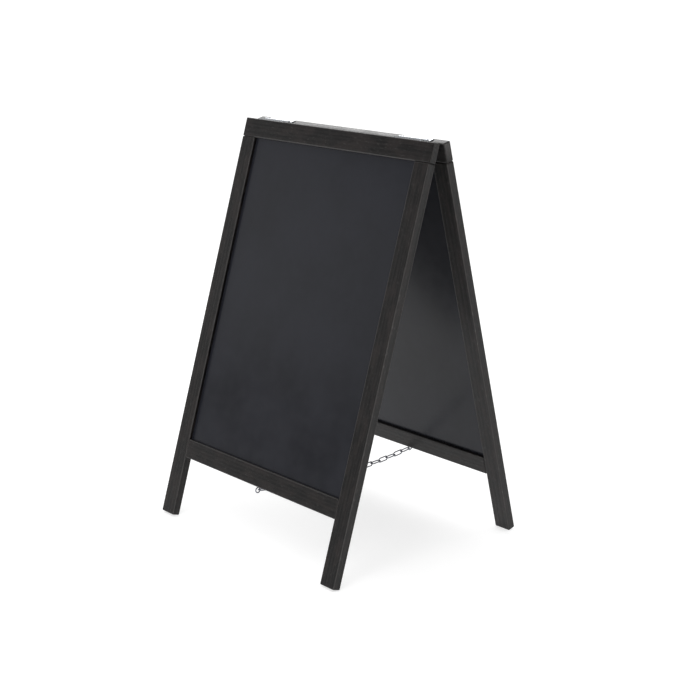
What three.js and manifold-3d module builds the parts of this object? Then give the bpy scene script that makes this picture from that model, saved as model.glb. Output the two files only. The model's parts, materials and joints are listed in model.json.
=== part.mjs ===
// A-frame chalkboard: two wooden leaves hinged along the ridge, a black board let into each,
// and a short chain between the bottom rails that stops the leaves when they stand open.
// Millimetres. +X runs along the ridge, +Y from the front leaf to the rear one, +Z up.
// The origin is on the ground, under the middle of the ridge.

import * as THREE from 'three';
import { RoundedBoxGeometry } from 'three/addons/geometries/RoundedBoxGeometry.js';
import { mergeGeometries, mergeVertices } from 'three/addons/utils/BufferGeometryUtils.js';
import Module from 'manifold-3d';

const wasm = await Module();
wasm.setup();

// ---- driving dimensions -------------------------------------------------------------------

const boardWidth = 550; // a leaf across its stiles
const leafLength = 850; // a leaf from the top rail's top to the foot
const lathWidth = 39; // the face of every stile and rail
const lathThickness = 18;
const lathEdgeRadius = 2.5;
const legLength = 126; // from the bottom rail's underside to the foot
const foldedGap = 7.2; // between the two leaves when they are shut

const panelThickness = 3;
const grooveDepth = 6;
const panelEdgeGap = 0.5; // left between the panel's edge and the bottom of its groove

const dowelRadius = 4;
const dowelLength = 40;
const dowelEndGap = 0.5;

const hingeLength = 76;
const hingeInset = 75; // from the end of a top rail to the middle of its hinge
const hingeReach = 17.5; // from the pin's axis to a plate's free edge
const hingeGauge = 1.5; // sheet thickness
const knuckleRadius = 3.2;
const knuckleCount = 5;
const pinRadius = 1.3;
const pinHeadRadius = 2.1;
const pinHeadLength = 0.9;

const screwHeadRadius = 3.2;
const screwShankRadius = 1.6;
const screwHeadDepth = 1.9;
const screwRim = 0.2; // the straight edge round a head
const screwLength = 16;
const screwTipLength = 3;
const screwsPerPlate = 3;
const screwEndDistance = 9; // from a plate's end to its outer screw
const screwReach = 11.2; // from the pin's axis to the line of screws

const eyeWire = 2.6;
const eyeInnerRadius = 4;
const eyeNeck = 0.5; // between the rail's underside and the ring
const eyeShankLength = 13;
const eyeTipLength = 4;

const linkCount = 19; // odd, so that both end links lie flat in upright eyes
const linkWire = 2.5;
const linkInnerLength = 22.3;
const linkInnerWidth = 6.5;
const chainEndSlope = THREE.MathUtils.degToRad(8.3); // at the eyes, with the leaves open

const gap = 0.3; // clearance between pieces that touch
const flushDrop = 0.1; // how far a screw head sits below its plate's face

// ---- finishes -------------------------------------------------------------------------------

const paint = (color, roughness, metalness) => () =>
  new THREE.MeshStandardMaterial({ color, roughness, metalness });
const blackWood = paint('#262425', 0.6, 0);
const blackBoard = paint('#2b2b2e', 0.35, 0);
const beech = paint('#d6b88c', 0.7, 0);
const zincSteel = paint('#c6c7cb', 0.3, 1);

// ---- tools for solids -----------------------------------------------------------------------

function solidOf(geometry) {
  const bare = geometry.clone();
  bare.deleteAttribute('normal');
  bare.deleteAttribute('uv');
  const merged = mergeVertices(bare, 1e-4);
  return new wasm.Manifold(new wasm.Mesh({
    numProp: 3,
    vertProperties: new Float32Array(merged.attributes.position.array),
    triVerts: new Uint32Array(merged.index.array),
  }));
}

function geometryOf(solid) {
  const mesh = solid.getMesh();
  const geometry = new THREE.BufferGeometry();
  geometry.setAttribute('position', new THREE.BufferAttribute(mesh.vertProperties, 3));
  geometry.setIndex(new THREE.BufferAttribute(mesh.triVerts, 1));
  geometry.computeVertexNormals();
  return geometry;
}

const cut = (geometry, ...tools) =>
  geometryOf(tools.reduce((solid, tool) => solid.subtract(solidOf(tool)), solidOf(geometry)));

const join = (geometry, ...others) =>
  geometryOf(others.reduce((solid, other) => solid.add(solidOf(other)), solidOf(geometry)));

// A box between two corners given as [x, y, z].
function boxBetween(low, high) {
  const size = low.map((value, axis) => high[axis] - value);
  const middle = low.map((value, axis) => (high[axis] + value) / 2);
  return new THREE.BoxGeometry(...size).translate(...middle);
}

// A solid of revolution about +Z, from [radius, height] pairs that rise from the axis to the axis.
function turned(profile, sides) {
  const points = profile.map(([radius, height]) => new THREE.Vector2(radius, height));
  return new THREE.LatheGeometry(points, sides).rotateX(Math.PI / 2);
}

const rod = (radius, length, sides) =>
  turned([[0, -length / 2], [radius, -length / 2], [radius, length / 2], [0, length / 2]], sides);

function place(parent, name, geometry, material, position = [0, 0, 0], rotation = [0, 0, 0]) {
  const mesh = new THREE.Mesh(geometry, material());
  mesh.name = name;
  mesh.position.set(...position);
  mesh.rotation.set(...rotation);
  parent.add(mesh);
}

// ---- where things lie -----------------------------------------------------------------------

// A leaf is drawn upright with the hinge pin's axis at its origin: x along the ridge, z up the
// leaf, and y from its outer face towards the other leaf.
const topZ = -(knuckleRadius + gap); // top of the top rail: the barrel stands on it
const footZ = topZ - leafLength;
const innerY = -foldedGap / 2;
const outerY = innerY - lathThickness;
const middleY = (innerY + outerY) / 2;
const stileX = (boardWidth - lathWidth) / 2;
const stileTopZ = topZ - lathWidth - gap;
const bottomRailLowZ = footZ + legLength;
const bottomRailTopZ = bottomRailLowZ + lathWidth;
const insideX = boardWidth / 2 - lathWidth; // a stile's inner side
const eyeZ = bottomRailLowZ - eyeNeck - eyeWire - eyeInnerRadius; // centre of the ring

// ---- the chain, which sets how far the leaves open --------------------------------------------

// Each link turns about the end bar of a flat one. Between two of these axes a flat link is
// longer than its opening by one wire, and an upright one shorter by one wire and two gaps.
const flatSpan = linkInnerLength + linkWire;
const uprightSpan = linkInnerLength - linkWire - 2 * gap;
const seatRadius = eyeInnerRadius - linkWire / 2 - gap; // from an eye's centre to the end bar

const links = [];
let chainLength = 0;
for (let i = 0; i < linkCount; i += 1) {
  const flat = i % 2 === 0;
  const first = i === 0;
  const last = i === linkCount - 1;
  const lead = first ? seatRadius : 0; // the end links swing about the eyes' centres
  const tail = last ? seatRadius : 0;
  const span = lead + (flat ? flatSpan : uprightSpan) + tail;
  links.push({ flat, lead, span, body: flat ? flatSpan : uprightSpan, along: chainLength + span / 2 });
  chainLength += span;
}
for (const link of links) {
  link.angle = chainEndSlope * (2 * link.along / chainLength - 1); // a shallow sag
}
const eyeDistance = links.reduce((sum, link) => sum + link.span * Math.cos(link.angle), 0);

// The eyes lie on a circle about the pin, so their distance gives the leaves' lean.
const eyeArm = Math.hypot(eyeZ, middleY);
const lean = Math.asin(eyeDistance / 2 / eyeArm) - Math.atan2(-middleY, -eyeZ);
const lowCornerZ = footZ + lathEdgeRadius;
const lowCornerY = innerY - lathEdgeRadius;
const ridgeZ = lathEdgeRadius - lowCornerZ * Math.cos(lean) + lowCornerY * Math.sin(lean);

// ---- pieces -----------------------------------------------------------------------------------

function lath(width, height) {
  return new RoundedBoxGeometry(width, lathThickness, height, 2, lathEdgeRadius);
}

// A countersunk screw with its face at z = 0, or the hole for one, which runs out past the face.
function screw(clearance) {
  const rim = clearance ? hingeGauge : screwRim;
  return turned([
    [0, -screwLength - clearance],
    [screwShankRadius + clearance, -screwLength + screwTipLength - clearance],
    [screwShankRadius + clearance, -screwHeadDepth],
    [screwHeadRadius + clearance, -screwRim],
    [screwHeadRadius + clearance, rim - screwRim],
    [0, rim - screwRim],
  ], 12);
}

// Where the screws of one leaf's hinge plates go, in leaf space.
const screwTopZ = topZ + gap + hingeGauge - flushDrop;
const screwPitch = (hingeLength - 2 * screwEndDistance) / (screwsPerPlate - 1);
function screwPlaces(hingeX) {
  return Array.from({ length: screwsPerPlate }, (_, i) => [
    hingeX - hingeLength / 2 + screwEndDistance + i * screwPitch, -screwReach, screwTopZ]);
}
const hingeXs = [-1, 1].map((side) => side * (boardWidth / 2 - hingeInset));

// Dowel places in leaf space: two stand between the top rail and the stiles, and two lie
// between the stiles and the bottom rail.
const dowels = [-1, 1].flatMap((side) => [
  { side, level: 'top', at: [side * stileX, middleY, stileTopZ + gap / 2], turn: [0, 0, 0] },
  {
    side,
    level: 'bottom',
    at: [side * (insideX - gap / 2), middleY, bottomRailTopZ - lathWidth / 2],
    turn: [0, Math.PI / 2, 0],
  },
]);
function dowelHole({ at, turn }) {
  return rod(dowelRadius + gap, dowelLength + 2 * dowelEndGap, 12)
    .rotateY(turn[1]).translate(...at);
}

const grooveHalf = panelThickness / 2 + gap;
const panelHalfX = insideX + grooveDepth - panelEdgeGap;
const panelTopZ = topZ - lathWidth + grooveDepth - panelEdgeGap;
const panelLowZ = bottomRailTopZ - grooveDepth + panelEdgeGap;
const grooves = boxBetween(
  [-insideX - grooveDepth, middleY - grooveHalf, bottomRailTopZ - grooveDepth],
  [insideX + grooveDepth, middleY + grooveHalf, topZ - lathWidth + grooveDepth],
);

function eye(clearance) {
  const shankRadius = eyeWire / 2 + clearance;
  const neckZ = eyeInnerRadius + eyeWire / 2;
  const shank = turned([
    [0, neckZ - eyeWire / 4],
    [shankRadius, neckZ - eyeWire / 4],
    [shankRadius, neckZ + eyeShankLength],
    [0, neckZ + eyeShankLength + eyeTipLength + clearance],
  ], 8);
  if (clearance) return shank;
  const ring = new THREE.TorusGeometry(neckZ, eyeWire / 2, 8, 20).rotateY(Math.PI / 2);
  return join(ring, shank);
}

function hingePlate(knuckles) {
  const low = -knuckleRadius;
  const high = low + hingeGauge;
  const pitch = hingeLength / knuckleCount;
  let plate = boxBetween(
    [-hingeLength / 2, -hingeReach, low],
    [hingeLength / 2, -knuckleRadius - gap, high],
  );
  for (const knuckle of knuckles) {
    const left = -hingeLength / 2 + knuckle * pitch + (knuckle > 0 ? gap / 2 : 0);
    const right = -hingeLength / 2 + (knuckle + 1) * pitch
      - (knuckle < knuckleCount - 1 ? gap / 2 : 0);
    const barrel = rod(knuckleRadius, right - left, 16)
      .rotateY(Math.PI / 2).translate((left + right) / 2, 0, 0);
    const web = boxBetween([left, -knuckleRadius - 2 * gap, low], [right, 0, high]);
    plate = join(plate, barrel, web);
  }
  return cut(plate, rod(pinRadius + gap, 2 * hingeLength, 12).rotateY(Math.PI / 2));
}

function link() {
  const bend = (linkInnerWidth + linkWire) / 2;
  const straight = linkInnerLength - linkInnerWidth;
  const wire = linkWire / 2;
  const end = new THREE.TorusGeometry(bend, wire, 8, 7, Math.PI).translate(0, straight / 2, 0);
  const side = new THREE.CylinderGeometry(wire, wire, straight, 8, 1, true).translate(bend, 0, 0);
  const half = [end, side];
  return mergeGeometries([...half, ...half.map((piece) => piece.clone().rotateZ(Math.PI))]);
}

// ---- the two leaves -----------------------------------------------------------------------------

// The rear leaf is the front one turned about the vertical, so its left is the front's right.
function leaf(name, facing, knuckles) {
  const group = new THREE.Group();
  const sideName = (x) => (x * facing < 0 ? 'left' : 'right');
  const screwHoles = hingeXs.flatMap(screwPlaces).map((at) => screw(gap).translate(...at));

  for (const side of [-1, 1]) {
    const height = stileTopZ - footZ;
    const holes = dowels.filter((dowel) => dowel.side === side).map(dowelHole);
    const blank = lath(lathWidth, height).translate(side * stileX, middleY, footZ + height / 2);
    place(group, `${name}_stile_${sideName(side)}`, cut(blank, grooves, ...holes), blackWood);
  }

  const topRail = lath(boardWidth, lathWidth).translate(0, middleY, topZ - lathWidth / 2);
  const topHoles = dowels.filter((dowel) => dowel.level === 'top').map(dowelHole);
  place(group, `${name}_top_rail`, cut(topRail, grooves, ...topHoles, ...screwHoles), blackWood);

  const bottomRail = lath(2 * (insideX - gap), lathWidth)
    .translate(0, middleY, bottomRailTopZ - lathWidth / 2);
  const bottomHoles = dowels.filter((dowel) => dowel.level === 'bottom').map(dowelHole);
  const eyeHole = eye(gap).translate(0, middleY, eyeZ);
  place(group, `${name}_bottom_rail`, cut(bottomRail, grooves, ...bottomHoles, eyeHole), blackWood);

  const panel = boxBetween(
    [-panelHalfX, middleY - panelThickness / 2, panelLowZ],
    [panelHalfX, middleY + panelThickness / 2, panelTopZ],
  );
  place(group, `${name}_chalkboard`, panel, blackBoard);

  for (const dowel of dowels) {
    const label = `${name}_${dowel.level}_dowel_${sideName(dowel.side)}`;
    place(group, label, rod(dowelRadius, dowelLength, 12), beech, dowel.at, dowel.turn);
  }

  place(group, `${name}_screw_eye`, eye(0), zincSteel, [0, middleY, eyeZ]);

  for (const hingeX of hingeXs) {
    const hinge = `hinge_${sideName(hingeX)}_${name}`;
    const holes = screwPlaces(0).map((at) => screw(gap).translate(...at));
    place(group, `${hinge}_plate`, cut(hingePlate(knuckles), ...holes), zincSteel, [hingeX, 0, 0]);
    screwPlaces(hingeX).forEach((at, i) => {
      const number = facing > 0 ? i + 1 : screwsPerPlate - i; // counted from the left
      place(group, `${hinge}_screw_${number}`, screw(0), zincSteel, at);
    });
  }

  group.rotation.set(-lean, 0, 0);
  group.position.set(0, 0, ridgeZ);
  const turnedLeaf = new THREE.Group();
  turnedLeaf.rotation.set(0, 0, facing > 0 ? 0 : Math.PI);
  turnedLeaf.add(group);
  return turnedLeaf;
}

// ---- the whole board ------------------------------------------------------------------------------

const board = new THREE.Group();
board.add(leaf('front', 1, [0, 2, 4]));
board.add(leaf('rear', -1, [1, 3]));

for (const hingeX of hingeXs) {
  const half = hingeLength / 2 + gap;
  const pin = turned([
    [0, -half - pinHeadLength],
    [pinHeadRadius, -half - pinHeadLength],
    [pinHeadRadius, -half],
    [pinRadius, -half],
    [pinRadius, half],
    [pinHeadRadius, half],
    [pinHeadRadius, half + pinHeadLength],
    [0, half + pinHeadLength],
  ], 12);
  const side = hingeX < 0 ? 'left' : 'right';
  place(board, `hinge_${side}_pin`, pin, zincSteel, [hingeX, 0, ridgeZ], [0, Math.PI / 2, 0]);
}

const chain = new THREE.Group();
chain.position.set(
  0,
  -eyeDistance / 2,
  ridgeZ + eyeZ * Math.cos(lean) - middleY * Math.sin(lean),
);
let y = 0;
let z = 0;
links.forEach(({ flat, lead, span, body, angle }, i) => {
  const middle = lead + body / 2;
  const number = String(i + 1).padStart(2, '0');
  const turn = new THREE.Group();
  turn.position.set(0, y, z);
  turn.rotation.set(angle, 0, 0);
  place(turn, `chain_link_${number}`, link(), zincSteel, [0, middle, 0], [0, flat ? 0 : Math.PI / 2, 0]);
  chain.add(turn);
  y += span * Math.cos(angle);
  z += span * Math.sin(angle);
});
board.add(chain);

export default board;
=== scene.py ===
"""A folding A-frame chalkboard in black-stained wood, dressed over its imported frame.

Metres, +Z up, +X along the ridge, +Y from the front leaf to the rear one. Sizes that the frame
doesn't give are written in millimetres and turned to metres with MM.
"""

import json
import math

import bmesh
import bpy
import numpy as np
from mathutils import Matrix, Vector


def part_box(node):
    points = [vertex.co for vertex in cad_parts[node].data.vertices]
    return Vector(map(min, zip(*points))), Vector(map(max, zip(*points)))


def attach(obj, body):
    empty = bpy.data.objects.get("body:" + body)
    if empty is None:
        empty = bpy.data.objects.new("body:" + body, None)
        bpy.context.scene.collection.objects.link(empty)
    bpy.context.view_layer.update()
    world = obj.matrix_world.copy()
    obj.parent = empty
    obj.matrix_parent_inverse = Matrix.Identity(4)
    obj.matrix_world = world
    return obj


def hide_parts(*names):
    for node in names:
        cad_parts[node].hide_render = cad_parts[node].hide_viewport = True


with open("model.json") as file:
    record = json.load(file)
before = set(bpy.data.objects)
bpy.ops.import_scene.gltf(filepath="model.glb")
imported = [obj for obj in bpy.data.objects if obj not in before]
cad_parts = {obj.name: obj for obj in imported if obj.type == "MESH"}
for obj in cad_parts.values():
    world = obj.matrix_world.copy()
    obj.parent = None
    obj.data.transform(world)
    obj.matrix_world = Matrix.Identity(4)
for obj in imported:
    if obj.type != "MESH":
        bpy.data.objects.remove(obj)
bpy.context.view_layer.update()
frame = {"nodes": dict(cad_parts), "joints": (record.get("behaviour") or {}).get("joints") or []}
MM = 0.001

# ---- camera --------------------------------------------------------------------------------------
# A short telephoto lens at chest height, looking down a little on the front right corner.

camera_place = Vector((2.1728, -1.9541, 1.1294))
camera_yaw = math.radians(47.5906)
camera_pitch = math.radians(14.5503)
camera_roll = math.radians(0.9333)
camera_data = bpy.data.cameras.new("camera")
camera_data.sensor_width = 36
camera_data.lens = 75.89
camera = bpy.data.objects.new("camera", camera_data)
bpy.context.collection.objects.link(camera)
camera.matrix_world = (
    Matrix.Translation(camera_place)
    @ Matrix.Rotation(camera_yaw, 4, "Z")
    @ Matrix.Rotation(math.pi / 2 - camera_pitch, 4, "X")
    @ Matrix.Rotation(camera_roll, 4, "Z")
)
bpy.context.scene.camera = camera

# ---- the two leaves' own spaces ------------------------------------------------------------------
# Each leaf is a flat frame hung from the hinge pins. Its space is the leaf held upright, with the
# pins' axis at the origin: x along the ridge, z up the leaf, -y out of its outer face.

fold = next(joint for joint in frame["joints"] if joint["name"] == "fold")
lean = math.radians(-fold["range_deg"][0]) / 2  # each leaf leans half of what the fold closes
front_space = Matrix.Translation(fold["pos_m"]) @ Matrix.Rotation(-lean, 4, "X")
leaf_space = {"front": front_space, "rear": Matrix.Rotation(math.pi, 4, "Z") @ front_space}


def leaf_box(leaf, node):
    """The lowest and highest corners of a CAD node, in its leaf's space."""
    inverse = leaf_space[leaf].inverted()
    corners = np.array([inverse @ vertex.co for vertex in frame["nodes"][node].data.vertices])
    return Vector(corners.min(0)), Vector(corners.max(0))


# ---- stiles and rails ----------------------------------------------------------------------------
# Planed pine laths with machine-rounded arrises, stained black and sealed with a thin satin
# lacquer. They are grooved for the board, and bored for the dowels that join them and for screws.

ARRIS = 2.5 * MM
ARRIS_STEPS = 5
PANEL_SLACK = Vector((0.5 * MM, 0.3 * MM, 0.5 * MM))  # round the board in its groove
GROOVED = 5.5 * MM  # how far the board reaches into its groove
BORE_SLACK = 0.3 * MM
BORE_SIDES = 20
PILOT_RADIUS = 1.9 * MM  # holes for the hinge screws
EYE_PILOT_RADIUS = 1.6 * MM
OVERCUT = 5 * MM  # how far a drill starts outside the wood
JOINT_FADE = 2 * MM  # over which the paler arris (wear, painted highlight) ends where another lath covers it
PITH_ACROSS, PITH_DEEP = 23.0, 31.0  # mm from a lath's middle to the heart of its log
PITH_STEPS = (7.0, -9.0)  # mm that the heart moves from one lath to the next
SAWN_APART = 977.0  # mm along the log between one lath and the next


def linear(hex_colour):
    """An sRGB hex colour as linear RGBA."""
    parts = [int(hex_colour[i:i + 2], 16) / 255 for i in (1, 3, 5)]
    curve = [p / 12.92 if p <= 0.04045 else ((p + 0.055) / 1.055) ** 2.4 for p in parts]
    return (*curve, 1.0)


def add(tree, kind, settings=None, inputs=None):
    """Adds a node; settings are its properties, inputs are values or sockets by name or number."""
    node = tree.nodes.new(kind)
    for name, value in (settings or {}).items():
        setattr(node, name, value)
    for name, value in (inputs or {}).items():
        if isinstance(value, bpy.types.NodeSocket):
            tree.links.new(value, node.inputs[name])
        else:
            node.inputs[name].default_value = value
    return node


def new_material(name):
    """An empty material and its node tree."""
    material = bpy.data.materials.new(name)
    material.use_nodes = True
    material.node_tree.nodes.clear()
    return material, material.node_tree


# Stain sinks into the soft early wood and leaves the late wood a shade lighter. It takes unevenly,
# in warm cloudy patches, and handling has rubbed pale marks into the lacquer. Every arris is paler
# still: partly wear, and partly a painted highlight along the rounding.
# The grain attribute that it follows is in millimetres, its third number along the lath.
RING_WIDTH = 7.0  # mm between growth rings on the face
STREAK_WIDTH = 1.6  # mm; real pine's is about half that, which is too fine to show
PORE_WIDTH = 0.5  # mm
PATCH_WIDTH = 16.0  # mm
SCUFF_WIDTH = 3.2  # mm
GRAIN_LENGTH = 40  # how many times longer than wide the figure is
PATCH_LENGTH = 2.6
SCUFF_LENGTH = 3.0
RINGS_PER_UNIT = 20 / math.tau  # that a wave texture draws at a scale of 1

stained_pine, tree = new_material("black stained pine, satin lacquer")
grain = add(tree, "ShaderNodeAttribute", {"attribute_name": "grain"}).outputs["Vector"]
stretched = add(tree, "ShaderNodeVectorMath", {"operation": "MULTIPLY"},
                {0: grain, 1: (1, 1, 1 / GRAIN_LENGTH)}).outputs[0]
rings = add(tree, "ShaderNodeTexWave", {"wave_type": "RINGS", "rings_direction": "Z"},
            {"Vector": stretched, "Scale": 1 / RINGS_PER_UNIT / RING_WIDTH, "Distortion": 5.0,
             "Detail": 3.0, "Detail Scale": 0.8}).outputs["Fac"]
streaks = add(tree, "ShaderNodeTexNoise", None,
              {"Vector": stretched, "Scale": 1 / STREAK_WIDTH, "Detail": 5.0,
               "Roughness": 0.62}).outputs["Fac"]
pores = add(tree, "ShaderNodeTexNoise", None,
            {"Vector": stretched, "Scale": 1 / PORE_WIDTH, "Detail": 2.0}).outputs["Fac"]
pitted = add(tree, "ShaderNodeMapRange", None,
             {"Value": pores, "From Min": 0.58, "From Max": 0.7}).outputs[0]
patchwork = add(tree, "ShaderNodeVectorMath", {"operation": "MULTIPLY"},
                {0: grain, 1: (1, 1, 1 / PATCH_LENGTH)}).outputs[0]
patches = add(tree, "ShaderNodeTexNoise", None,
              {"Vector": patchwork, "Scale": 1 / PATCH_WIDTH, "Detail": 3.0}).outputs["Fac"]
patches = add(tree, "ShaderNodeMapRange", {"interpolation_type": "SMOOTHSTEP"},
              {"Value": patches, "From Min": 0.42, "From Max": 0.64}).outputs[0]
scratched = add(tree, "ShaderNodeVectorMath", {"operation": "MULTIPLY"},
                {0: grain, 1: (1, 1, 1 / SCUFF_LENGTH)}).outputs[0]
scuffs = add(tree, "ShaderNodeTexNoise", None,
             {"Vector": scratched, "Scale": 1 / SCUFF_WIDTH, "Detail": 4.0,
              "Roughness": 0.65}).outputs["Fac"]
scuffs = add(tree, "ShaderNodeMapRange", {"interpolation_type": "SMOOTHSTEP"},
             {"Value": scuffs, "From Min": 0.54, "From Max": 0.74}).outputs[0]
figure = add(tree, "ShaderNodeMix", {"data_type": "FLOAT"},
             {"Factor": 0.78, "A": rings, "B": streaks}).outputs[0]
figure = add(tree, "ShaderNodeMapRange", {"interpolation_type": "SMOOTHSTEP"},
             {"Value": figure, "From Min": 0.3, "From Max": 0.7}).outputs[0]
stain = add(tree, "ShaderNodeMix", {"data_type": "RGBA"},
            {0: figure, 6: linear("#060505"), 7: linear("#1a1818")}).outputs[2]
cloudy = add(tree, "ShaderNodeMath", {"operation": "MULTIPLY"}, {0: patches, 1: 0.7}).outputs[0]
stain = add(tree, "ShaderNodeMix", {"data_type": "RGBA"},
            {0: cloudy, 6: stain, 7: linear("#231e1d")}).outputs[2]
rubbed = add(tree, "ShaderNodeMath", {"operation": "MULTIPLY"}, {0: scuffs, 1: 0.55}).outputs[0]
stain = add(tree, "ShaderNodeMix", {"data_type": "RGBA"},
            {0: rubbed, 6: stain, 7: linear("#3f3d3c")}).outputs[2]
stain = add(tree, "ShaderNodeMix", {"data_type": "RGBA"},
            {0: pitted, 6: stain, 7: linear("#040404")}).outputs[2]
# Every arris is lightened towards a pale grey: partly edge wear, partly a painted highlight.
arris = add(tree, "ShaderNodeAttribute", {"attribute_name": "arris"}).outputs["Fac"]
uneven = add(tree, "ShaderNodeMapRange", None,
             {"Value": scuffs, "From Max": 0.8, "To Min": 0.45, "To Max": 0.95}).outputs[0]
arris_wear_and_highlight = add(tree, "ShaderNodeMath", {"operation": "MULTIPLY"}, {0: arris, 1: uneven}).outputs[0]
stain = add(tree, "ShaderNodeMix", {"data_type": "RGBA"},
            {0: arris_wear_and_highlight, 6: stain, 7: linear("#5e5c5b")}).outputs[2]
gloss = add(tree, "ShaderNodeMapRange", None,
            {"Value": figure, "To Min": 0.44, "To Max": 0.34}).outputs[0]
gloss = add(tree, "ShaderNodeMath", {"operation": "MULTIPLY_ADD"},
            {0: patches, 1: 0.1, 2: gloss}).outputs[0]
relief = add(tree, "ShaderNodeMath", {"operation": "MULTIPLY_ADD"},
             {0: pitted, 1: -0.6, 2: figure}).outputs[0]
bump = add(tree, "ShaderNodeBump", None,
           {"Strength": 0.5, "Distance": 0.2 * MM, "Height": relief}).outputs[0]
wood = add(tree, "ShaderNodeBsdfPrincipled", None,
           {"Base Color": stain, "Roughness": gloss, "Normal": bump, "IOR": 1.5,
            "Specular IOR Level": 0.15, "Coat Weight": 0.22, "Coat Roughness": 0.22})
add(tree, "ShaderNodeOutputMaterial", None, {"Surface": wood.outputs[0]})


def box_mesh(bm, low, high):
    """Adds a plain box between two corners to a bmesh."""
    for vertex in bmesh.ops.create_cube(bm, size=1)["verts"]:
        vertex.co = Vector(high[i] if vertex.co[i] > 0 else low[i] for i in range(3))


def turned(bm, profile, sides, place):
    """Adds a closed turned solid, from (radius, height) pairs up its axis, laid in its place."""
    rows = []
    for radius, height in profile:
        angles = [math.tau * k / sides for k in range(sides)] if radius > 0 else [0]
        rows.append([bm.verts.new(place @ Vector((radius * math.cos(a), radius * math.sin(a), height)))
                     for a in angles])
    for lower, upper in zip(rows, rows[1:]):
        for k in range(sides):
            corners = [lower[k % len(lower)], lower[(k + 1) % len(lower)],
                       upper[(k + 1) % len(upper)], upper[k % len(upper)]]
            bm.faces.new(list(dict.fromkeys(corners)))


def bore(bm, radius, foot, top, place):
    """Adds the space that a drill takes, from foot to top up its axis."""
    turned(bm, [(0, foot), (radius, foot), (radius, top), (0, top)], BORE_SIDES, place)


def mesh_of(bm, name):
    """The bmesh's plain mesh, with its faces pointing out."""
    bmesh.ops.recalc_face_normals(bm, faces=bm.faces)
    mesh = bpy.data.meshes.new(name)
    bm.to_mesh(mesh)
    bm.free()
    return mesh


def shown(name, mesh):
    """A new object for the mesh, in the scene."""
    piece = bpy.data.objects.new(name, mesh)
    bpy.context.collection.objects.link(piece)
    return piece


def apply_modifiers(piece):
    """Turns what the modifiers make into the piece's plain mesh."""
    made = bpy.data.meshes.new_from_object(
        piece.evaluated_get(bpy.context.evaluated_depsgraph_get()))
    piece.modifiers.clear()
    piece.data = made


def cut_away(piece, cutter_mesh):
    """Cuts one mesh out of a piece."""
    cutter = shown("cutter", cutter_mesh)
    modifier = piece.modifiers.new("cut", "BOOLEAN")
    modifier.operation = "DIFFERENCE"
    modifier.solver = "EXACT"
    modifier.use_self = True
    modifier.object = cutter
    apply_modifiers(piece)
    bpy.data.objects.remove(cutter)


def finish_piece(piece, material, body, nodes, smooth_below):
    """Gives a mesh its shading and material, hangs it on its body's empty, and hides the CAD nodes
    that it stands in for.

    Faces that meet at less than smooth_below, in degrees, shade as one surface.
    """
    mesh = piece.data
    mesh.materials.clear()
    mesh.materials.append(material)
    mesh.shade_smooth()
    mesh.set_sharp_from_angle(angle=math.radians(smooth_below))
    weighted = piece.modifiers.new("even shading", "WEIGHTED_NORMAL")
    weighted.keep_sharp = True
    apply_modifiers(piece)
    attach(piece, body)
    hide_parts(*nodes)


def dowel_fit(leaf, node):
    """A dowel's radius, half its length, and the matrix that lays its axis in its joint."""
    low, high = leaf_box(leaf, node)
    size = high - low
    turn = Matrix.Rotation(math.pi / 2, 4, "Y") if size.x > size.z else Matrix.Identity(4)
    return min(size) / 2, max(size) / 2, Matrix.Translation((low + high) / 2) @ turn


def dowels_of(leaf):
    """The names of a leaf's dowels."""
    return [name for name in frame["nodes"] if name.startswith(leaf) and "dowel" in name]


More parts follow.
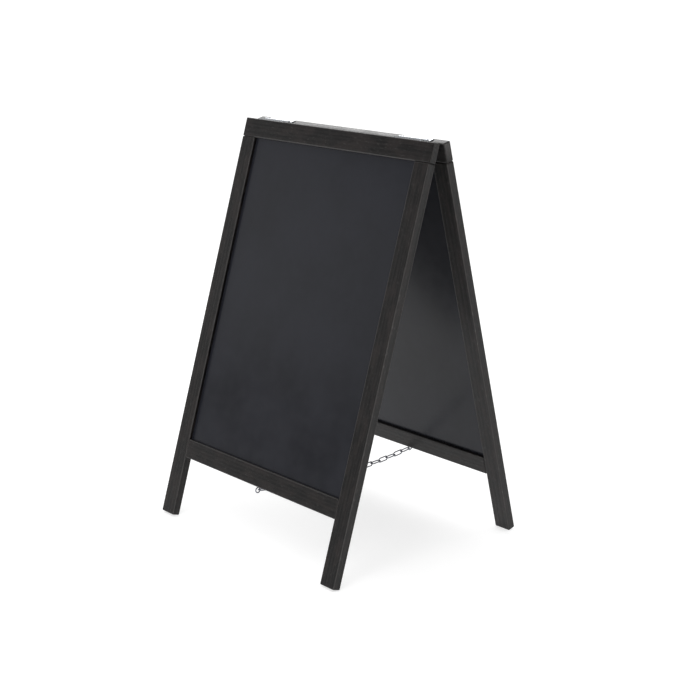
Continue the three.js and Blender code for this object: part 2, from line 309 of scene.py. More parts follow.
def lath(leaf, node, number):
    """One grooved and bored lath, drawn in its leaf's space and then leaned with the leaf."""
    low, high = leaf_box(leaf, node)
    size = high - low
    middle = (low + high) / 2
    bm = bmesh.new()
    box_mesh(bm, low, high)
    bmesh.ops.bevel(bm, geom=bm.edges[:], offset=ARRIS, segments=ARRIS_STEPS, profile=0.5,
                    affect="EDGES")
    piece = shown(node + "_lath", mesh_of(bm, node + "_lath"))

    bm = bmesh.new()
    panel_low, panel_high = leaf_box(leaf, leaf + "_chalkboard")
    box_mesh(bm, panel_low - PANEL_SLACK, panel_high + PANEL_SLACK)
    for dowel in dowels_of(leaf):
        radius, half, place = dowel_fit(leaf, dowel)
        bore(bm, radius + BORE_SLACK, -half - BORE_SLACK, half + BORE_SLACK, place)
    if node.endswith("top_rail"):
        for screw in [name for name in frame["nodes"] if f"_{leaf}_screw_" in name]:
            screw_low, screw_high = leaf_box(leaf, screw)
            x, y, _ = (screw_low + screw_high) / 2
            bore(bm, PILOT_RADIUS, screw_low.z - BORE_SLACK, high.z + OVERCUT,
                 Matrix.Translation((x, y, 0)))
    if node.endswith("bottom_rail"):
        eye_low, eye_high = leaf_box(leaf, leaf + "_screw_eye")
        bore(bm, EYE_PILOT_RADIUS, low.z - OVERCUT, eye_high.z + BORE_SLACK,
             Matrix.Translation(((eye_low.x + eye_high.x) / 2, middle.y, 0)))
    cut_away(piece, mesh_of(bm, "bores"))

    stile_edge = panel_high.x - GROOVED  # the stiles' inner faces
    if node.endswith("top_rail"):  # rows of points for its paler arris (wear, painted highlight) to end at
        bm = bmesh.new()
        bm.from_mesh(piece.data)
        for side in (-1, 1):
            for x in (stile_edge, stile_edge + JOINT_FADE):
                bmesh.ops.bisect_plane(bm, geom=bm.verts[:] + bm.edges[:] + bm.faces[:],
                                       plane_co=(side * x, 0, 0), plane_no=(1, 0, 0), dist=0.001 * MM)
        bm.to_mesh(piece.data)
        bm.free()

    along = max(range(3), key=lambda i: size[i])
    across = 2 - along
    piece.data.attributes.new("grain", "FLOAT_VECTOR", "POINT")
    places = np.array([vertex.co for vertex in piece.data.vertices]) - np.array(middle)
    pith = np.array((PITH_ACROSS + PITH_STEPS[0] * (number % 3),
                     PITH_DEEP + PITH_STEPS[1] * (number % 2), SAWN_APART * number))
    figure_at = places[:, [across, 1, along]] / MM + pith
    piece.data.attributes["grain"].data.foreach_set("vector", figure_at.astype(np.float32).ravel())
    depth = (np.array(size) / 2 - abs(places))[:, [across, 1]]  # below the two nearest long faces
    rounded = np.clip(1 - abs(depth[:, 0] - depth[:, 1]) / ARRIS, 0, 1) * (depth.max(1) < ARRIS)
    if node.endswith("top_rail"):
        covered = (places[:, 2] < 0) & (abs(places[:, 0]) > stile_edge + JOINT_FADE / 2)
        rounded[covered] = 0
    piece.data.attributes.new("arris", "FLOAT", "POINT")
    piece.data.attributes["arris"].data.foreach_set("value", rounded.astype(np.float32))
    piece.data.transform(leaf_space[leaf])
    return piece


laths = ["stile_left", "stile_right", "top_rail", "bottom_rail"]
for number, (leaf, part) in enumerate((leaf, part) for leaf in leaf_space for part in laths):
    node = f"{leaf}_{part}"
    piece = lath(leaf, node, number)
    finish_piece(piece, stained_pine, leaf + "_leaf", [node], smooth_below=35)

# ---- boards --------------------------------------------------------------------------------------
# Thin hardboard, sprayed on both faces with a smooth satin black writing lacquer and slid into
# the frame's grooves. The film is flat but for a long, shallow orange peel.

# The film is a deep blue-black with one broad soft sheen. Wiped chalk leaves it a little hazy and
# dulls it in places.
PEEL_WIDTH = 9 * MM
HAZE_WIDTH = 130 * MM
DUST_WIDTH = 24 * MM

writing_lacquer, tree = new_material("satin black writing lacquer on hardboard")
place = add(tree, "ShaderNodeTexCoord").outputs["Object"]
haze = add(tree, "ShaderNodeTexNoise", None,
           {"Vector": place, "Scale": 1 / HAZE_WIDTH, "Detail": 1.0}).outputs["Fac"]
haze = add(tree, "ShaderNodeMapRange", {"interpolation_type": "SMOOTHSTEP"},
           {"Value": haze, "From Min": 0.3, "From Max": 0.7}).outputs[0]
dust = add(tree, "ShaderNodeTexNoise", None,
           {"Vector": place, "Scale": 1 / DUST_WIDTH, "Detail": 2.0}).outputs["Fac"]
dust = add(tree, "ShaderNodeMapRange", {"interpolation_type": "SMOOTHSTEP"},
           {"Value": dust, "From Min": 0.3, "From Max": 0.8}).outputs[0]
film = add(tree, "ShaderNodeMix", {"data_type": "RGBA"},
           {0: haze, 6: linear("#1e1f24"), 7: linear("#222329")}).outputs[2]
wiped = add(tree, "ShaderNodeMath", {"operation": "MULTIPLY"}, {0: dust, 1: 0.2}).outputs[0]
film = add(tree, "ShaderNodeMix", {"data_type": "RGBA"},
           {0: wiped, 6: film, 7: linear("#28292f")}).outputs[2]
gloss = add(tree, "ShaderNodeMapRange", None,
            {"Value": haze, "To Min": 0.2, "To Max": 0.23}).outputs[0]
gloss = add(tree, "ShaderNodeMath", {"operation": "MULTIPLY_ADD"},
            {0: dust, 1: 0.04, 2: gloss}).outputs[0]
peel = add(tree, "ShaderNodeTexNoise", None,
           {"Vector": place, "Scale": 1 / PEEL_WIDTH, "Detail": 1.0}).outputs["Fac"]
bump = add(tree, "ShaderNodeBump", None,
           {"Strength": 0.2, "Distance": 0.04 * MM, "Height": peel}).outputs[0]
lacquer = add(tree, "ShaderNodeBsdfPrincipled", None,
              {"Base Color": film, "Roughness": gloss, "Normal": bump, "IOR": 1.5,
               "Specular IOR Level": 0.24})
add(tree, "ShaderNodeOutputMaterial", None, {"Surface": lacquer.outputs[0]})
for leaf in leaf_space:
    board = frame["nodes"][leaf + "_chalkboard"]
    board.data.materials.clear()
    board.data.materials.append(writing_lacquer)

# ---- dowels --------------------------------------------------------------------------------------
# Fluted beech dowels, glued half into each lath of a joint. The flutes let air and spare glue out,
# and the ends are chamfered to find the hole.

FLUTES = 14
FLUTE_POINTS = 6  # round the dowel, for each flute
FLUTE_DEPTH = 0.35 * MM
DOWEL_CHAMFER = 1.0 * MM

# Beech is a pale, even wood with short darker flecks, and it is left raw and matt. Its grain
# attribute is in millimetres too.
FLECK_WIDTH = 0.8  # mm
FLECK_LENGTH = 6  # times its width

beech, tree = new_material("plain beech, turned")
grain = add(tree, "ShaderNodeAttribute", {"attribute_name": "grain"}).outputs["Vector"]
stretched = add(tree, "ShaderNodeVectorMath", {"operation": "MULTIPLY"},
                {0: grain, 1: (1, 1, 1 / FLECK_LENGTH)}).outputs[0]
fleck = add(tree, "ShaderNodeTexNoise", None,
            {"Vector": stretched, "Scale": 1 / FLECK_WIDTH, "Detail": 3.0}).outputs["Fac"]
flecked = add(tree, "ShaderNodeMapRange", None,
              {"Value": fleck, "From Min": 0.4, "From Max": 0.7}).outputs[0]
colour = add(tree, "ShaderNodeMix", {"data_type": "RGBA"},
             {0: flecked, 6: linear("#d9bd93"), 7: linear("#b98f62")}).outputs[2]
bump = add(tree, "ShaderNodeBump", None,
           {"Strength": 0.4, "Distance": 0.05 * MM, "Height": fleck}).outputs[0]
turned_beech = add(tree, "ShaderNodeBsdfPrincipled", None,
                   {"Base Color": colour, "Roughness": 0.62, "Normal": bump})
add(tree, "ShaderNodeOutputMaterial", None, {"Surface": turned_beech.outputs[0]})


def fluted_dowel(leaf, node):
    """One dowel, from rings of points whose radius dips at each flute."""
    radius, half, place = dowel_fit(leaf, node)
    steps = FLUTE_POINTS * FLUTES
    shape = [radius - FLUTE_DEPTH * max(0, math.cos(math.tau * k / FLUTE_POINTS)) ** 2
             for k in range(steps)]
    bm = bmesh.new()
    rings = []
    for height, shrink in ((-half, DOWEL_CHAMFER), (DOWEL_CHAMFER - half, 0),
                           (half - DOWEL_CHAMFER, 0), (half, DOWEL_CHAMFER)):
        rings.append([bm.verts.new(((r - shrink) * math.cos(math.tau * k / steps),
                                    (r - shrink) * math.sin(math.tau * k / steps), height))
                      for k, r in enumerate(shape)])
    for lower, upper in zip(rings, rings[1:]):
        for k in range(steps):
            after = (k + 1) % steps
            bm.faces.new((lower[k], lower[after], upper[after], upper[k]))
    for ring, height in ((rings[0], -half), (rings[-1], half)):
        middle = bm.verts.new((0, 0, height))
        for k in range(steps):
            bm.faces.new((ring[k], ring[(k + 1) % steps], middle))
    piece = shown(node + "_fluted", mesh_of(bm, node + "_fluted"))
    places = np.array([vertex.co for vertex in piece.data.vertices]) / MM
    piece.data.attributes.new("grain", "FLOAT_VECTOR", "POINT")
    piece.data.attributes["grain"].data.foreach_set("vector", places.astype(np.float32).ravel())
    piece.data.transform(leaf_space[leaf] @ place)
    return piece


for leaf in leaf_space:
    for node in dowels_of(leaf):
        piece = fluted_dowel(leaf, node)
        finish_piece(piece, beech, leaf + "_leaf", [node], smooth_below=30)

# ---- hinge plates --------------------------------------------------------------------------------
# Butt hinges pressed from 1.5 mm steel strip: each plate's fingers are rolled round the pin into
# knuckles, and its corners and edges are tumbled round before it is zinc plated.

HINGE_GAUGE = 1.5 * MM
ROLL_END = math.radians(204)  # how far a finger is rolled round, from its outermost point
ROLL_STEPS = 40
NOTCH_SLACK = 0.3 * MM
FINGER_ROOT = 1.0 * MM  # how far a finger runs into its plate
KNUCKLES = 5
CORNER_RADIUS = 2.2 * MM
CORNER_STEPS = 8
TUMBLED_EDGE = 0.22 * MM
SCREW_SLACK = 0.3 * MM
HEAD_RADIUS, HEAD_DEPTH = 3.2 * MM, 1.9 * MM
SHANK_RADIUS = 1.6 * MM
COUNTERSINK_SIDES = 40
BELOW_PLATE, ABOVE_PLATE = 6 * MM, 2 * MM  # how far the countersink's cut runs, from the plate's top

# Bright zinc over pressed steel: it shines softly where it was rubbed, and is a little cloudy
# elsewhere.
CLOUD_WIDTH = 2.5 * MM
RUB_WIDTH = 0.35 * MM


def plated_steel(name, bright, dull, smoothest, roughest):
    """Zinc-plated steel between two shades and two roughnesses."""
    material, tree = new_material(name)
    place = add(tree, "ShaderNodeTexCoord").outputs["Object"]
    cloud = add(tree, "ShaderNodeTexNoise", None,
                {"Vector": place, "Scale": 1 / CLOUD_WIDTH, "Detail": 4.0,
                 "Roughness": 0.6}).outputs["Fac"]
    cloudy = add(tree, "ShaderNodeMapRange", None,
                 {"Value": cloud, "From Min": 0.35, "From Max": 0.65}).outputs[0]
    shade = add(tree, "ShaderNodeMix", {"data_type": "RGBA"},
                {0: cloudy, 6: linear(bright), 7: linear(dull)}).outputs[2]
    rough = add(tree, "ShaderNodeMapRange", None,
                {"Value": cloud, "From Min": 0.3, "From Max": 0.7, "To Min": smoothest,
                 "To Max": roughest}).outputs[0]
    rubbed = add(tree, "ShaderNodeTexNoise", None,
                 {"Vector": place, "Scale": 1 / RUB_WIDTH, "Detail": 2.0}).outputs["Fac"]
    bump = add(tree, "ShaderNodeBump", None,
               {"Strength": 0.3, "Distance": 0.02 * MM, "Height": rubbed}).outputs[0]
    steel = add(tree, "ShaderNodeBsdfPrincipled", None,
                {"Base Color": shade, "Metallic": 1.0, "Roughness": rough, "Normal": bump})
    add(tree, "ShaderNodeOutputMaterial", None, {"Surface": steel.outputs[0]})
    return material


zinc_plate = plated_steel("bright zinc-plated steel strip", "#d4d6da", "#bdc0c5", 0.22, 0.34)


def prism(bm, near, far):
    """Adds the solid between two outlines that have the same number of points."""
    near = [bm.verts.new(point) for point in near]
    far = [bm.verts.new(point) for point in far]
    bm.faces.new(near)
    bm.faces.new(far[::-1])
    for k in range(len(near)):
        after = (k + 1) % len(near)
        bm.faces.new((near[k], near[after], far[after], far[k]))


def arc(radius, start, end, steps):
    """Points on an arc about the origin, with angles from the first axis."""
    angles = [start + (end - start) * k / steps for k in range(steps + 1)]
    return [(radius * math.cos(a), radius * math.sin(a)) for a in angles]


def hinge_plate(leaf, side, fingers):
    """One plate with its rolled fingers and countersunk holes."""
    node = f"hinge_{side}_{leaf}_plate"
    low, high = leaf_box(leaf, node)
    radius = high.z
    top = HINGE_GAUGE - radius
    bm = bmesh.new()
    corners = [(low.x + CORNER_RADIUS, math.pi, 1.5 * math.pi),
               (high.x - CORNER_RADIUS, 1.5 * math.pi, 2 * math.pi)]
    rim = [(centre + x, low.y + CORNER_RADIUS + y) for centre, start, end in corners
           for x, y in arc(CORNER_RADIUS, start, end, CORNER_STEPS)]
    notch_y = -radius - NOTCH_SLACK
    rim += [(high.x, notch_y), (low.x, notch_y)]
    prism(bm, [(x, y, -radius) for x, y in rim], [(x, y, top) for x, y in rim])
    roll = arc(radius, -math.pi / 2, ROLL_END, ROLL_STEPS)
    roll += arc(radius - HINGE_GAUGE, ROLL_END, -math.pi / 2, ROLL_STEPS)
    roll += [(notch_y - FINGER_ROOT, top), (notch_y - FINGER_ROOT, -radius)]
    pitch = (high.x - low.x) / KNUCKLES
    for finger in fingers:
        start = low.x + finger * pitch + (NOTCH_SLACK / 2 if finger > 0 else 0)
        end = low.x + (finger + 1) * pitch - (NOTCH_SLACK / 2 if finger < KNUCKLES - 1 else 0)
        prism(bm, [(start, y, z) for y, z in roll], [(end, y, z) for y, z in roll])
    piece = shown(node + "_pressed", mesh_of(bm, node + "_pressed"))

    bm = bmesh.new()
    head, shank = HEAD_RADIUS + SCREW_SLACK, SHANK_RADIUS + SCREW_SLACK
    for screw in [name for name in frame["nodes"] if name.startswith(f"hinge_{side}_{leaf}_screw")]:
        screw_low, screw_high = leaf_box(leaf, screw)
        x, y, _ = (screw_low + screw_high) / 2
        turned(bm, [(0, -BELOW_PLATE), (shank, -BELOW_PLATE), (shank, -HEAD_DEPTH), (head, 0),
                    (head, ABOVE_PLATE), (0, ABOVE_PLATE)], COUNTERSINK_SIDES,
               Matrix.Translation((x, y, top)))
    cut_away(piece, mesh_of(bm, "countersinks"))
    bevel = piece.modifiers.new("tumbled edges", "BEVEL")
    bevel.width = TUMBLED_EDGE
    bevel.segments = 2
    bevel.limit_method = "ANGLE"
    bevel.angle_limit = math.radians(50)
    apply_modifiers(piece)
    piece.data.transform(leaf_space[leaf])
    finish_piece(piece, zinc_plate, leaf + "_leaf", [node], smooth_below=35)


for side in ("left", "right"):
    hinge_plate("front", side, (0, 2, 4))
    hinge_plate("rear", side, (1, 3))

# ---- hinge pins ----------------------------------------------------------------------------------
# Lengths of plated steel wire, pushed through the knuckles and peened over into a low dome at
# each end.

PIN_RADIUS = 1.3 * MM
PIN_SIDES = 32
DOME_HEIGHT = 0.9 * MM
DOME_STEPS = 6
for side in ("left", "right"):
    node = f"hinge_{side}_pin"
    low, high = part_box(node)
    middle = (low + high) / 2
    dome_radius = (high.z - low.z) / 2
    half = (high.x - low.x) / 2
    dome_foot = half - DOME_HEIGHT
    dome = [(dome_radius * math.cos(math.pi / 2 * k / DOME_STEPS),
             dome_foot + DOME_HEIGHT * math.sin(math.pi / 2 * k / DOME_STEPS))
            for k in range(DOME_STEPS)]
    upper = [(PIN_RADIUS, dome_foot), *dome, (0, half)]
    profile = [(radius, -height) for radius, height in reversed(upper)] + upper
    bm = bmesh.new()
    turned(bm, profile, PIN_SIDES, Matrix.Translation(middle) @ Matrix.Rotation(math.pi / 2, 4, "Y"))
    piece = shown(f"hinge_{side}_peened_pin", mesh_of(bm, node))
    finish_piece(piece, zinc_plate, "front_leaf", [node], smooth_below=40)

# ---- hinge screws --------------------------------------------------------------------------------
# Countersunk wood screws with a cross recess, three to a plate, driven to whatever angle their
# threads stopped at.

THREAD_PITCH = 1.4 * MM
CORE_RADIUS = 1.2 * MM  # the thread stands out from this to the shank radius
RECESS_WIDTH, RECESS_SPAN, RECESS_DEPTH = 0.75 * MM, 3.6 * MM, 1.4 * MM
SCREW_LENGTH = 16 * MM
SCREW_TIP = 3 * MM
STEM_LENGTH = SCREW_LENGTH - HEAD_DEPTH - SCREW_TIP


def new_shape(name, sockets):
    """An empty geometry tree with named inputs, and a dictionary of what they give."""
    tree = bpy.data.node_groups.new(name, "GeometryNodeTree")
    tree.interface.new_socket("Geometry", in_out="INPUT", socket_type="NodeSocketGeometry")
    for socket in sockets:
        tree.interface.new_socket(socket, in_out="INPUT", socket_type=sockets[socket])
    tree.interface.new_socket("Geometry", in_out="OUTPUT", socket_type="NodeSocketGeometry")
    return tree, add(tree, "NodeGroupInput").outputs


def finish_shape(tree, geometry, material):
    """Ends a tree: real geometry, smooth, in its material."""
    real = add(tree, "GeometryNodeRealizeInstances", None, {0: geometry}).outputs[0]
    smooth = add(tree, "GeometryNodeSetShadeSmooth", None, {0: real}).outputs[0]
    dressed = add(tree, "GeometryNodeSetMaterial", None,
                  {"Geometry": smooth, "Material": material}).outputs[0]
    add(tree, "NodeGroupOutput", None, {0: dressed})


def grown(piece, tree, values):
    """Runs a tree on a piece, its inputs set by name, and keeps the plain mesh."""
    modifier = piece.modifiers.new(tree.name, "NODES")
    modifier.node_group = tree
    for item in tree.interface.items_tree:
        if item.in_out == "INPUT" and item.name in values:
            modifier[item.identifier] = values[item.name]
    apply_modifiers(piece)


# The screw is drawn with its head's face at the origin and its tip straight down.
screws, given = new_shape("countersunk screws", dict.fromkeys(
    ("Head Radius", "Head Depth", "Core Radius", "Stem Length", "Tip", "Turns", "Thread Depth",
     "Recess Span", "Recess Width", "Recess Depth"), "NodeSocketFloat"))
head_foot = add(screws, "ShaderNodeMath", {"operation": "MULTIPLY"},
                {0: given["Head Depth"], 1: -1.0}).outputs[0]
stem_foot = add(screws, "ShaderNodeMath", {"operation": "SUBTRACT"},
                {0: head_foot, 1: given["Stem Length"]}).outputs[0]
tip_foot = add(screws, "ShaderNodeMath", {"operation": "SUBTRACT"},
               {0: stem_foot, 1: given["Tip"]}).outputs[0]
lengths = []
for foot, lower, upper, depth in (
        (head_foot, given["Core Radius"], given["Head Radius"], given["Head Depth"]),
        (stem_foot, given["Core Radius"], given["Core Radius"], given["Stem Length"]),
        (tip_foot, 0.0, given["Core Radius"], given["Tip"])):
    cone = add(screws, "GeometryNodeMeshCone", None,
               {"Vertices": 32, "Radius Top": upper, "Radius Bottom": lower, "Depth": depth})
    below = add(screws, "ShaderNodeCombineXYZ", None, {"Z": foot}).outputs[0]
    lengths.append(add(screws, "GeometryNodeTransform", None,
                       {"Geometry": cone.outputs[0], "Translation": below}).outputs[0])
recess_size = add(screws, "ShaderNodeCombineXYZ", None,
                  {"X": given["Recess Span"], "Y": given["Recess Width"],
                   "Z": given["Recess Depth"]}).outputs[0]
arm = add(screws, "GeometryNodeMeshCube", None, {"Size": recess_size}).outputs[0]
crossed = add(screws, "GeometryNodeTransform", None,
              {"Geometry": arm, "Rotation": (0, 0, math.pi / 2)}).outputs[0]
recessed = add(screws, "GeometryNodeMeshBoolean", {"operation": "DIFFERENCE", "solver": "EXACT"},
               {"Mesh 1": lengths[0]})
screws.links.new(arm, recessed.inputs["Mesh 2"])
screws.links.new(crossed, recessed.inputs["Mesh 2"])
helix = add(screws, "GeometryNodeCurveSpiral", None,
            {"Resolution": 20, "Rotations": given["Turns"], "Start Radius": given["Core Radius"],
             "End Radius": given["Core Radius"], "Height": given["Stem Length"]}).outputs[0]
edge = add(screws, "GeometryNodeCurvePrimitiveCircle", {"mode": "RADIUS"},
           {"Resolution": 4, "Radius": given["Thread Depth"]}).outputs[0]
ridge = add(screws, "GeometryNodeCurveToMesh", None,
            {"Curve": helix, "Profile Curve": edge, "Fill Caps": True}).outputs[0]
below = add(screws, "ShaderNodeCombineXYZ", None, {"Z": stem_foot}).outputs[0]
ridge = add(screws, "GeometryNodeTransform", None,
            {"Geometry": ridge, "Translation": below}).outputs[0]
whole = add(screws, "GeometryNodeJoinGeometry")
for part in (recessed.outputs[0], lengths[1], lengths[2], ridge):
    screws.links.new(part, whole.inputs[0])
spin = add(screws, "FunctionNodeRandomValue", {"data_type": "FLOAT_VECTOR"},
           {"Min": (0, 0, 0), "Max": (0, 0, math.pi), "Seed": 3}).outputs[0]
driven = add(screws, "GeometryNodeInstanceOnPoints", None,
             {"Points": given["Geometry"], "Instance": whole.outputs[0],
              "Rotation": spin}).outputs[0]
finish_shape(screws, driven, zinc_plate)

for leaf in leaf_space:
    nodes = [name for name in frame["nodes"] if f"_{leaf}_screw_" in name]
    bm = bmesh.new()
    for node in nodes:
        low, high = leaf_box(leaf, node)
        bm.verts.new(((low.x + high.x) / 2, (low.y + high.y) / 2, high.z))
    piece = shown(leaf + "_hinge_screws", mesh_of(bm, leaf + "_hinge_screws"))
    grown(piece, screws, {
        "Head Radius": HEAD_RADIUS, "Head Depth": HEAD_DEPTH, "Core Radius": CORE_RADIUS,
        "Stem Length": STEM_LENGTH, "Tip": SCREW_TIP, "Turns": STEM_LENGTH / THREAD_PITCH,
        "Thread Depth": SHANK_RADIUS - CORE_RADIUS, "Recess Span": RECESS_SPAN,
        "Recess Width": RECESS_WIDTH, "Recess Depth": 2 * RECESS_DEPTH})  # half is above the head
    piece.data.transform(leaf_space[leaf])
    finish_piece(piece, zinc_plate, leaf + "_leaf", nodes, smooth_below=30)

# ---- screw eyes ----------------------------------------------------------------------------------
# Plated wire bent into a ring below a screwed shank, one driven up into the middle of each bottom
# rail. The ring's end stops just short of the neck. The shank is hidden, and has no thread here.

EYE_WIRE = 2.6 * MM
EYE_MOUTH = math.radians(17)  # left open between the ring's end and the neck
NECK_BEND = 1.5 * MM
NECK = ((0, 2), (-0.12, 1), (-0.5, 0.35))  # its points, in bends across and above the ring
EYE_TIP = 4 * MM  # the screwed point, which is left off
RING_STEPS = 60

# Drawn wire takes the zinc duller and greyer than strip does, with a soft sheen along it.
chain_wire = plated_steel("zinc-plated drawn steel wire", "#9fa1a8", "#74767e", 0.25, 0.42)

eyes, given = new_shape("wire eye", {"Wire Radius": "NodeSocketFloat"})
path = add(eyes, "GeometryNodeMeshToCurve", None, {0: given["Geometry"]}).outputs[0]
section = add(eyes, "GeometryNodeCurvePrimitiveCircle", {"mode": "RADIUS"},
              {"Resolution": 20, "Radius": given["Wire Radius"]}).outputs[0]
wire = add(eyes, "GeometryNodeCurveToMesh", None,
           {"Curve": path, "Profile Curve": section, "Fill Caps": True}).outputs[0]
finish_shape(eyes, wire, chain_wire)

pivots = {joint["name"]: Vector(joint["pos_m"]) for joint in frame["joints"]
          if joint["name"].startswith("chain_pivot")}
for leaf, pivot in zip(leaf_space, (pivots[min(pivots)], pivots[max(pivots)])):
    node = leaf + "_screw_eye"
    low, high = leaf_box(leaf, node)
    centre = leaf_space[leaf].inverted() @ pivot
    ring = (high.y - low.y - EYE_WIRE) / 2
    shoulder = math.pi / 2 + 2 * NECK_BEND / ring  # where the neck has become the ring
    route = [(0, high.z - EYE_TIP - centre.z)]
    route += [(y * NECK_BEND, ring + z * NECK_BEND) for y, z in NECK]
    route += arc(ring, shoulder, 2.5 * math.pi - EYE_MOUTH, RING_STEPS)
    bm = bmesh.new()
    knots = [bm.verts.new((centre.x, centre.y + y, centre.z + z)) for y, z in route]
    for one, other in zip(knots, knots[1:]):
        bm.edges.new((one, other))
    piece = shown(leaf + "_wire_eye", mesh_of(bm, leaf + "_wire_eye"))
    grown(piece, eyes, {"Wire Radius": EYE_WIRE / 2})
    piece.data.transform(leaf_space[leaf])
    finish_piece(piece, chain_wire, leaf + "_leaf", [node], smooth_below=40)

# ---- chain ---------------------------------------------------------------------------------------
# Short welded links of plated wire, lying flat and standing upright by turns. Each is closed by
# a butt weld in the middle of one side, which leaves a slight swelling.

LINK_WIRE = 2.5 * MM
WELD_REACH = 2.2 * MM
WELD_SWELL = 1.14  # times the wire

links, given = new_shape("welded link", {
    "Length": "NodeSocketFloat", "Width": "NodeSocketFloat", "Wire Radius": "NodeSocketFloat",
    "Weld Reach": "NodeSocketFloat", "Weld Swell": "NodeSocketFloat",
    "Centre": "NodeSocketVector", "Turn": "NodeSocketVector"})
half_width = add(links, "ShaderNodeMath", {"operation": "MULTIPLY"},
                 {0: given["Width"], 1: 0.5}).outputs[0]
outline = add(links, "GeometryNodeCurvePrimitiveQuadrilateral", {"mode": "RECTANGLE"},
              {"Width": given["Width"], "Height": given["Length"]}).outputs[0]
rounded = add(links, "GeometryNodeFilletCurve", {"mode": "POLY"},
              {"Curve": outline, "Count": 14, "Radius": half_width, "Limit Radius": True}).outputs[0]
even = add(links, "GeometryNodeResampleCurve", None, {"Curve": rounded, "Count": 96}).outputs[0]
position = add(links, "GeometryNodeInputPosition").outputs[0]
weld_place = add(links, "ShaderNodeCombineXYZ", None, {"X": half_width}).outputs[0]
from_weld = add(links, "ShaderNodeVectorMath", {"operation": "DISTANCE"},
                {0: position, 1: weld_place}).outputs["Value"]
swell = add(links, "ShaderNodeMapRange", {"interpolation_type": "SMOOTHSTEP"},
            {"Value": from_weld, "From Max": given["Weld Reach"], "To Min": given["Weld Swell"],
             "To Max": 1.0}).outputs[0]
swollen = add(links, "GeometryNodeSetCurveRadius", None, {"Curve": even, "Radius": swell}).outputs[0]
section = add(links, "GeometryNodeCurvePrimitiveCircle", {"mode": "RADIUS"},
              {"Resolution": 16, "Radius": given["Wire Radius"]}).outputs[0]
wire = add(links, "GeometryNodeCurveToMesh", None,
           {"Curve": swollen, "Profile Curve": section}).outputs[0]
placed = add(links, "GeometryNodeTransform", None,
             {"Geometry": wire, "Translation": given["Centre"], "Rotation": given["Turn"]}).outputs[0]
finish_shape(links, placed, chain_wire)

chain_links = sorted(name for name in frame["nodes"] if name.startswith("chain_link"))
link_width = max(high.x - low.x for low, high in map(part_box, chain_links))
for node in chain_links:
    low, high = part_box(node)
    middle = (low + high) / 2
    places = np.array([vertex.co for vertex in frame["nodes"][node].data.vertices])
    places = (places - np.array(middle))[:, 1:]
    lengthwise = np.linalg.eigh(places.T @ places)[1][:, 1]  # the way that its points spread most
    slope = math.atan2(lengthwise[1], lengthwise[0])
    slope -= math.pi * round(slope / math.pi)
    along = places @ np.array((math.cos(slope), math.sin(slope)))
    turn = Matrix.Rotation(slope, 3, "X")
    if high.x - low.x < link_width / 2:  # it stands upright
        turn = turn @ Matrix.Rotation(math.pi / 2, 3, "Y")
    piece = shown(node + "_welded", bpy.data.meshes.new(node + "_welded"))
    grown(piece, links, {"Length": float(along.max() - along.min()) - LINK_WIRE,
                         "Width": link_width - LINK_WIRE, "Wire Radius": LINK_WIRE / 2,
                         "Weld Reach": WELD_REACH, "Weld Swell": WELD_SWELL,
                         "Centre": tuple(middle), "Turn": tuple(turn.to_euler())})
    finish_piece(piece, chain_wire, node, [node], smooth_below=60)

# ---- floor and light -----------------------------------------------------------------------------
# A pale, faintly lit-through floor without an end and a white wall behind, under a broad soft
# ceiling. The room is dim on the near side, so that black faces stay black, with four soft boxes.

FLOOR_REACH = 120  # metres from the middle to its edges

# Matt white paper has next to no sheen, and the light coming through it pales the shadow.
floor_material, tree = new_material("matt white floor")
place = add(tree, "ShaderNodeTexCoord").outputs["Object"]
mottle = add(tree, "ShaderNodeTexNoise", None, {"Vector": place, "Scale": 3.0}).outputs["Fac"]
white = add(tree, "ShaderNodeMix", {"data_type": "RGBA"},
            {0: mottle, 6: linear("#c8c8c8"), 7: linear("#cecece")}).outputs[2]
paper = add(tree, "ShaderNodeBsdfPrincipled", None,
            {"Base Color": white, "Roughness": 0.95, "Specular IOR Level": 0.1,
             "Emission Color": linear("#ffffff"), "Emission Strength": 0.64})
add(tree, "ShaderNodeOutputMaterial", None, {"Surface": paper.outputs[0]})
bm = bmesh.new()
bmesh.ops.create_grid(bm, x_segments=1, y_segments=1, size=FLOOR_REACH)
floor = shown("floor", mesh_of(bm, "floor"))
floor.data.materials.append(floor_material)

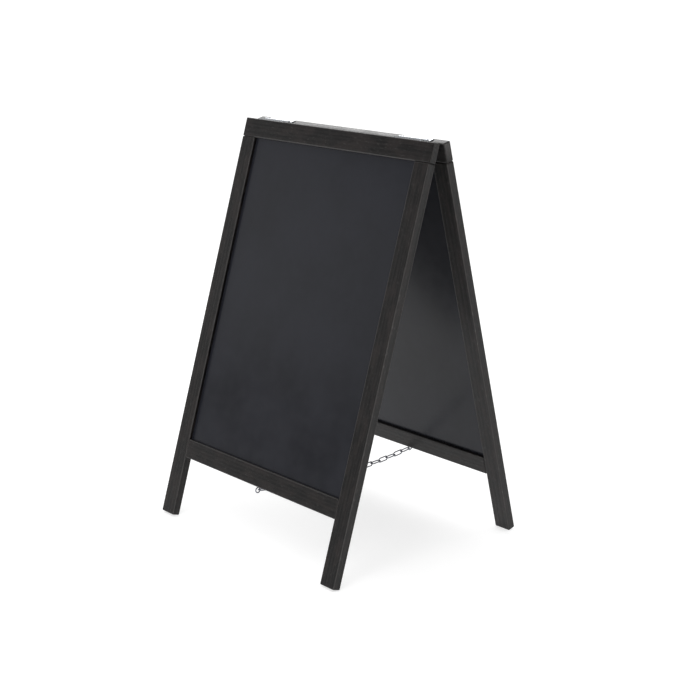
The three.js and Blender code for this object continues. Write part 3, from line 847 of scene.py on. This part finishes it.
DIM, WALL, CEILING, BACKDROP = 0.06, 1.0, 1.0, 1.0  # the room's brightness, from dark to white
TO_THE_WALL = (-0.71, 0.70, 0.0)
world = bpy.data.worlds.new("studio")
world.use_nodes = True
room = world.node_tree
room.nodes.clear()
towards = add(room, "ShaderNodeTexCoord").outputs["Generated"]
height = add(room, "ShaderNodeSeparateXYZ", None, {0: towards}).outputs["Z"]
behind = add(room, "ShaderNodeVectorMath", {"operation": "DOT_PRODUCT"},
             {0: towards, 1: TO_THE_WALL}).outputs["Value"]
strength = add(room, "ShaderNodeMapRange", {"interpolation_type": "SMOOTHSTEP"},
               {"Value": behind, "From Max": 0.5, "To Min": DIM, "To Max": WALL}).outputs[0]
overhead = add(room, "ShaderNodeMapRange", {"interpolation_type": "SMOOTHSTEP"},
               {"Value": height, "From Min": 0.35, "From Max": 0.8, "To Min": DIM,
                "To Max": CEILING}).outputs[0]
strength = add(room, "ShaderNodeMath", {"operation": "MAXIMUM"}, {0: strength, 1: overhead}).outputs[0]
seen = add(room, "ShaderNodeLightPath").outputs["Is Camera Ray"]
strength = add(room, "ShaderNodeMix", {"data_type": "FLOAT"},
               {"Factor": seen, "A": strength, "B": BACKDROP}).outputs[0]
sky = add(room, "ShaderNodeBackground", None, {"Color": (1, 1, 1, 1), "Strength": strength})
add(room, "ShaderNodeOutputWorld", None, {"Surface": sky.outputs[0]})
bpy.context.scene.world = world
bpy.context.scene.view_settings.view_transform = "Standard"


def soft_box(name, place, aim, width, height, watts):
    """A rectangular lamp at a place, turned to face a point."""
    data = bpy.data.lights.new(name, "AREA")
    data.shape = "RECTANGLE"
    data.size, data.size_y, data.energy = width, height, watts
    lamp = bpy.data.objects.new(name, data)
    lamp.location = place
    lamp.rotation_euler = (Vector(place) - Vector(aim)).to_track_quat("Z", "Y").to_euler()
    lamp.visible_camera = False
    bpy.context.collection.objects.link(lamp)


soft_box("front_light", place=(0.9, -3.3, 1.2), aim=(0, -0.1, 0.5), width=1.2, height=1.8, watts=32)
soft_box("left_light", place=(-3.0, -3.0, 1.3), aim=(0, -0.1, 0.5), width=1.6, height=1.2, watts=4)
soft_box("back_light", place=(-2.2, 1.3, 2.5), aim=(0, 0, 0.8), width=1.5, height=1.5, watts=20)
soft_box("side_light", place=(2.8, 2.0, 0.9), aim=(0.3, 0, 0.4), width=1.2, height=1.2, watts=4)
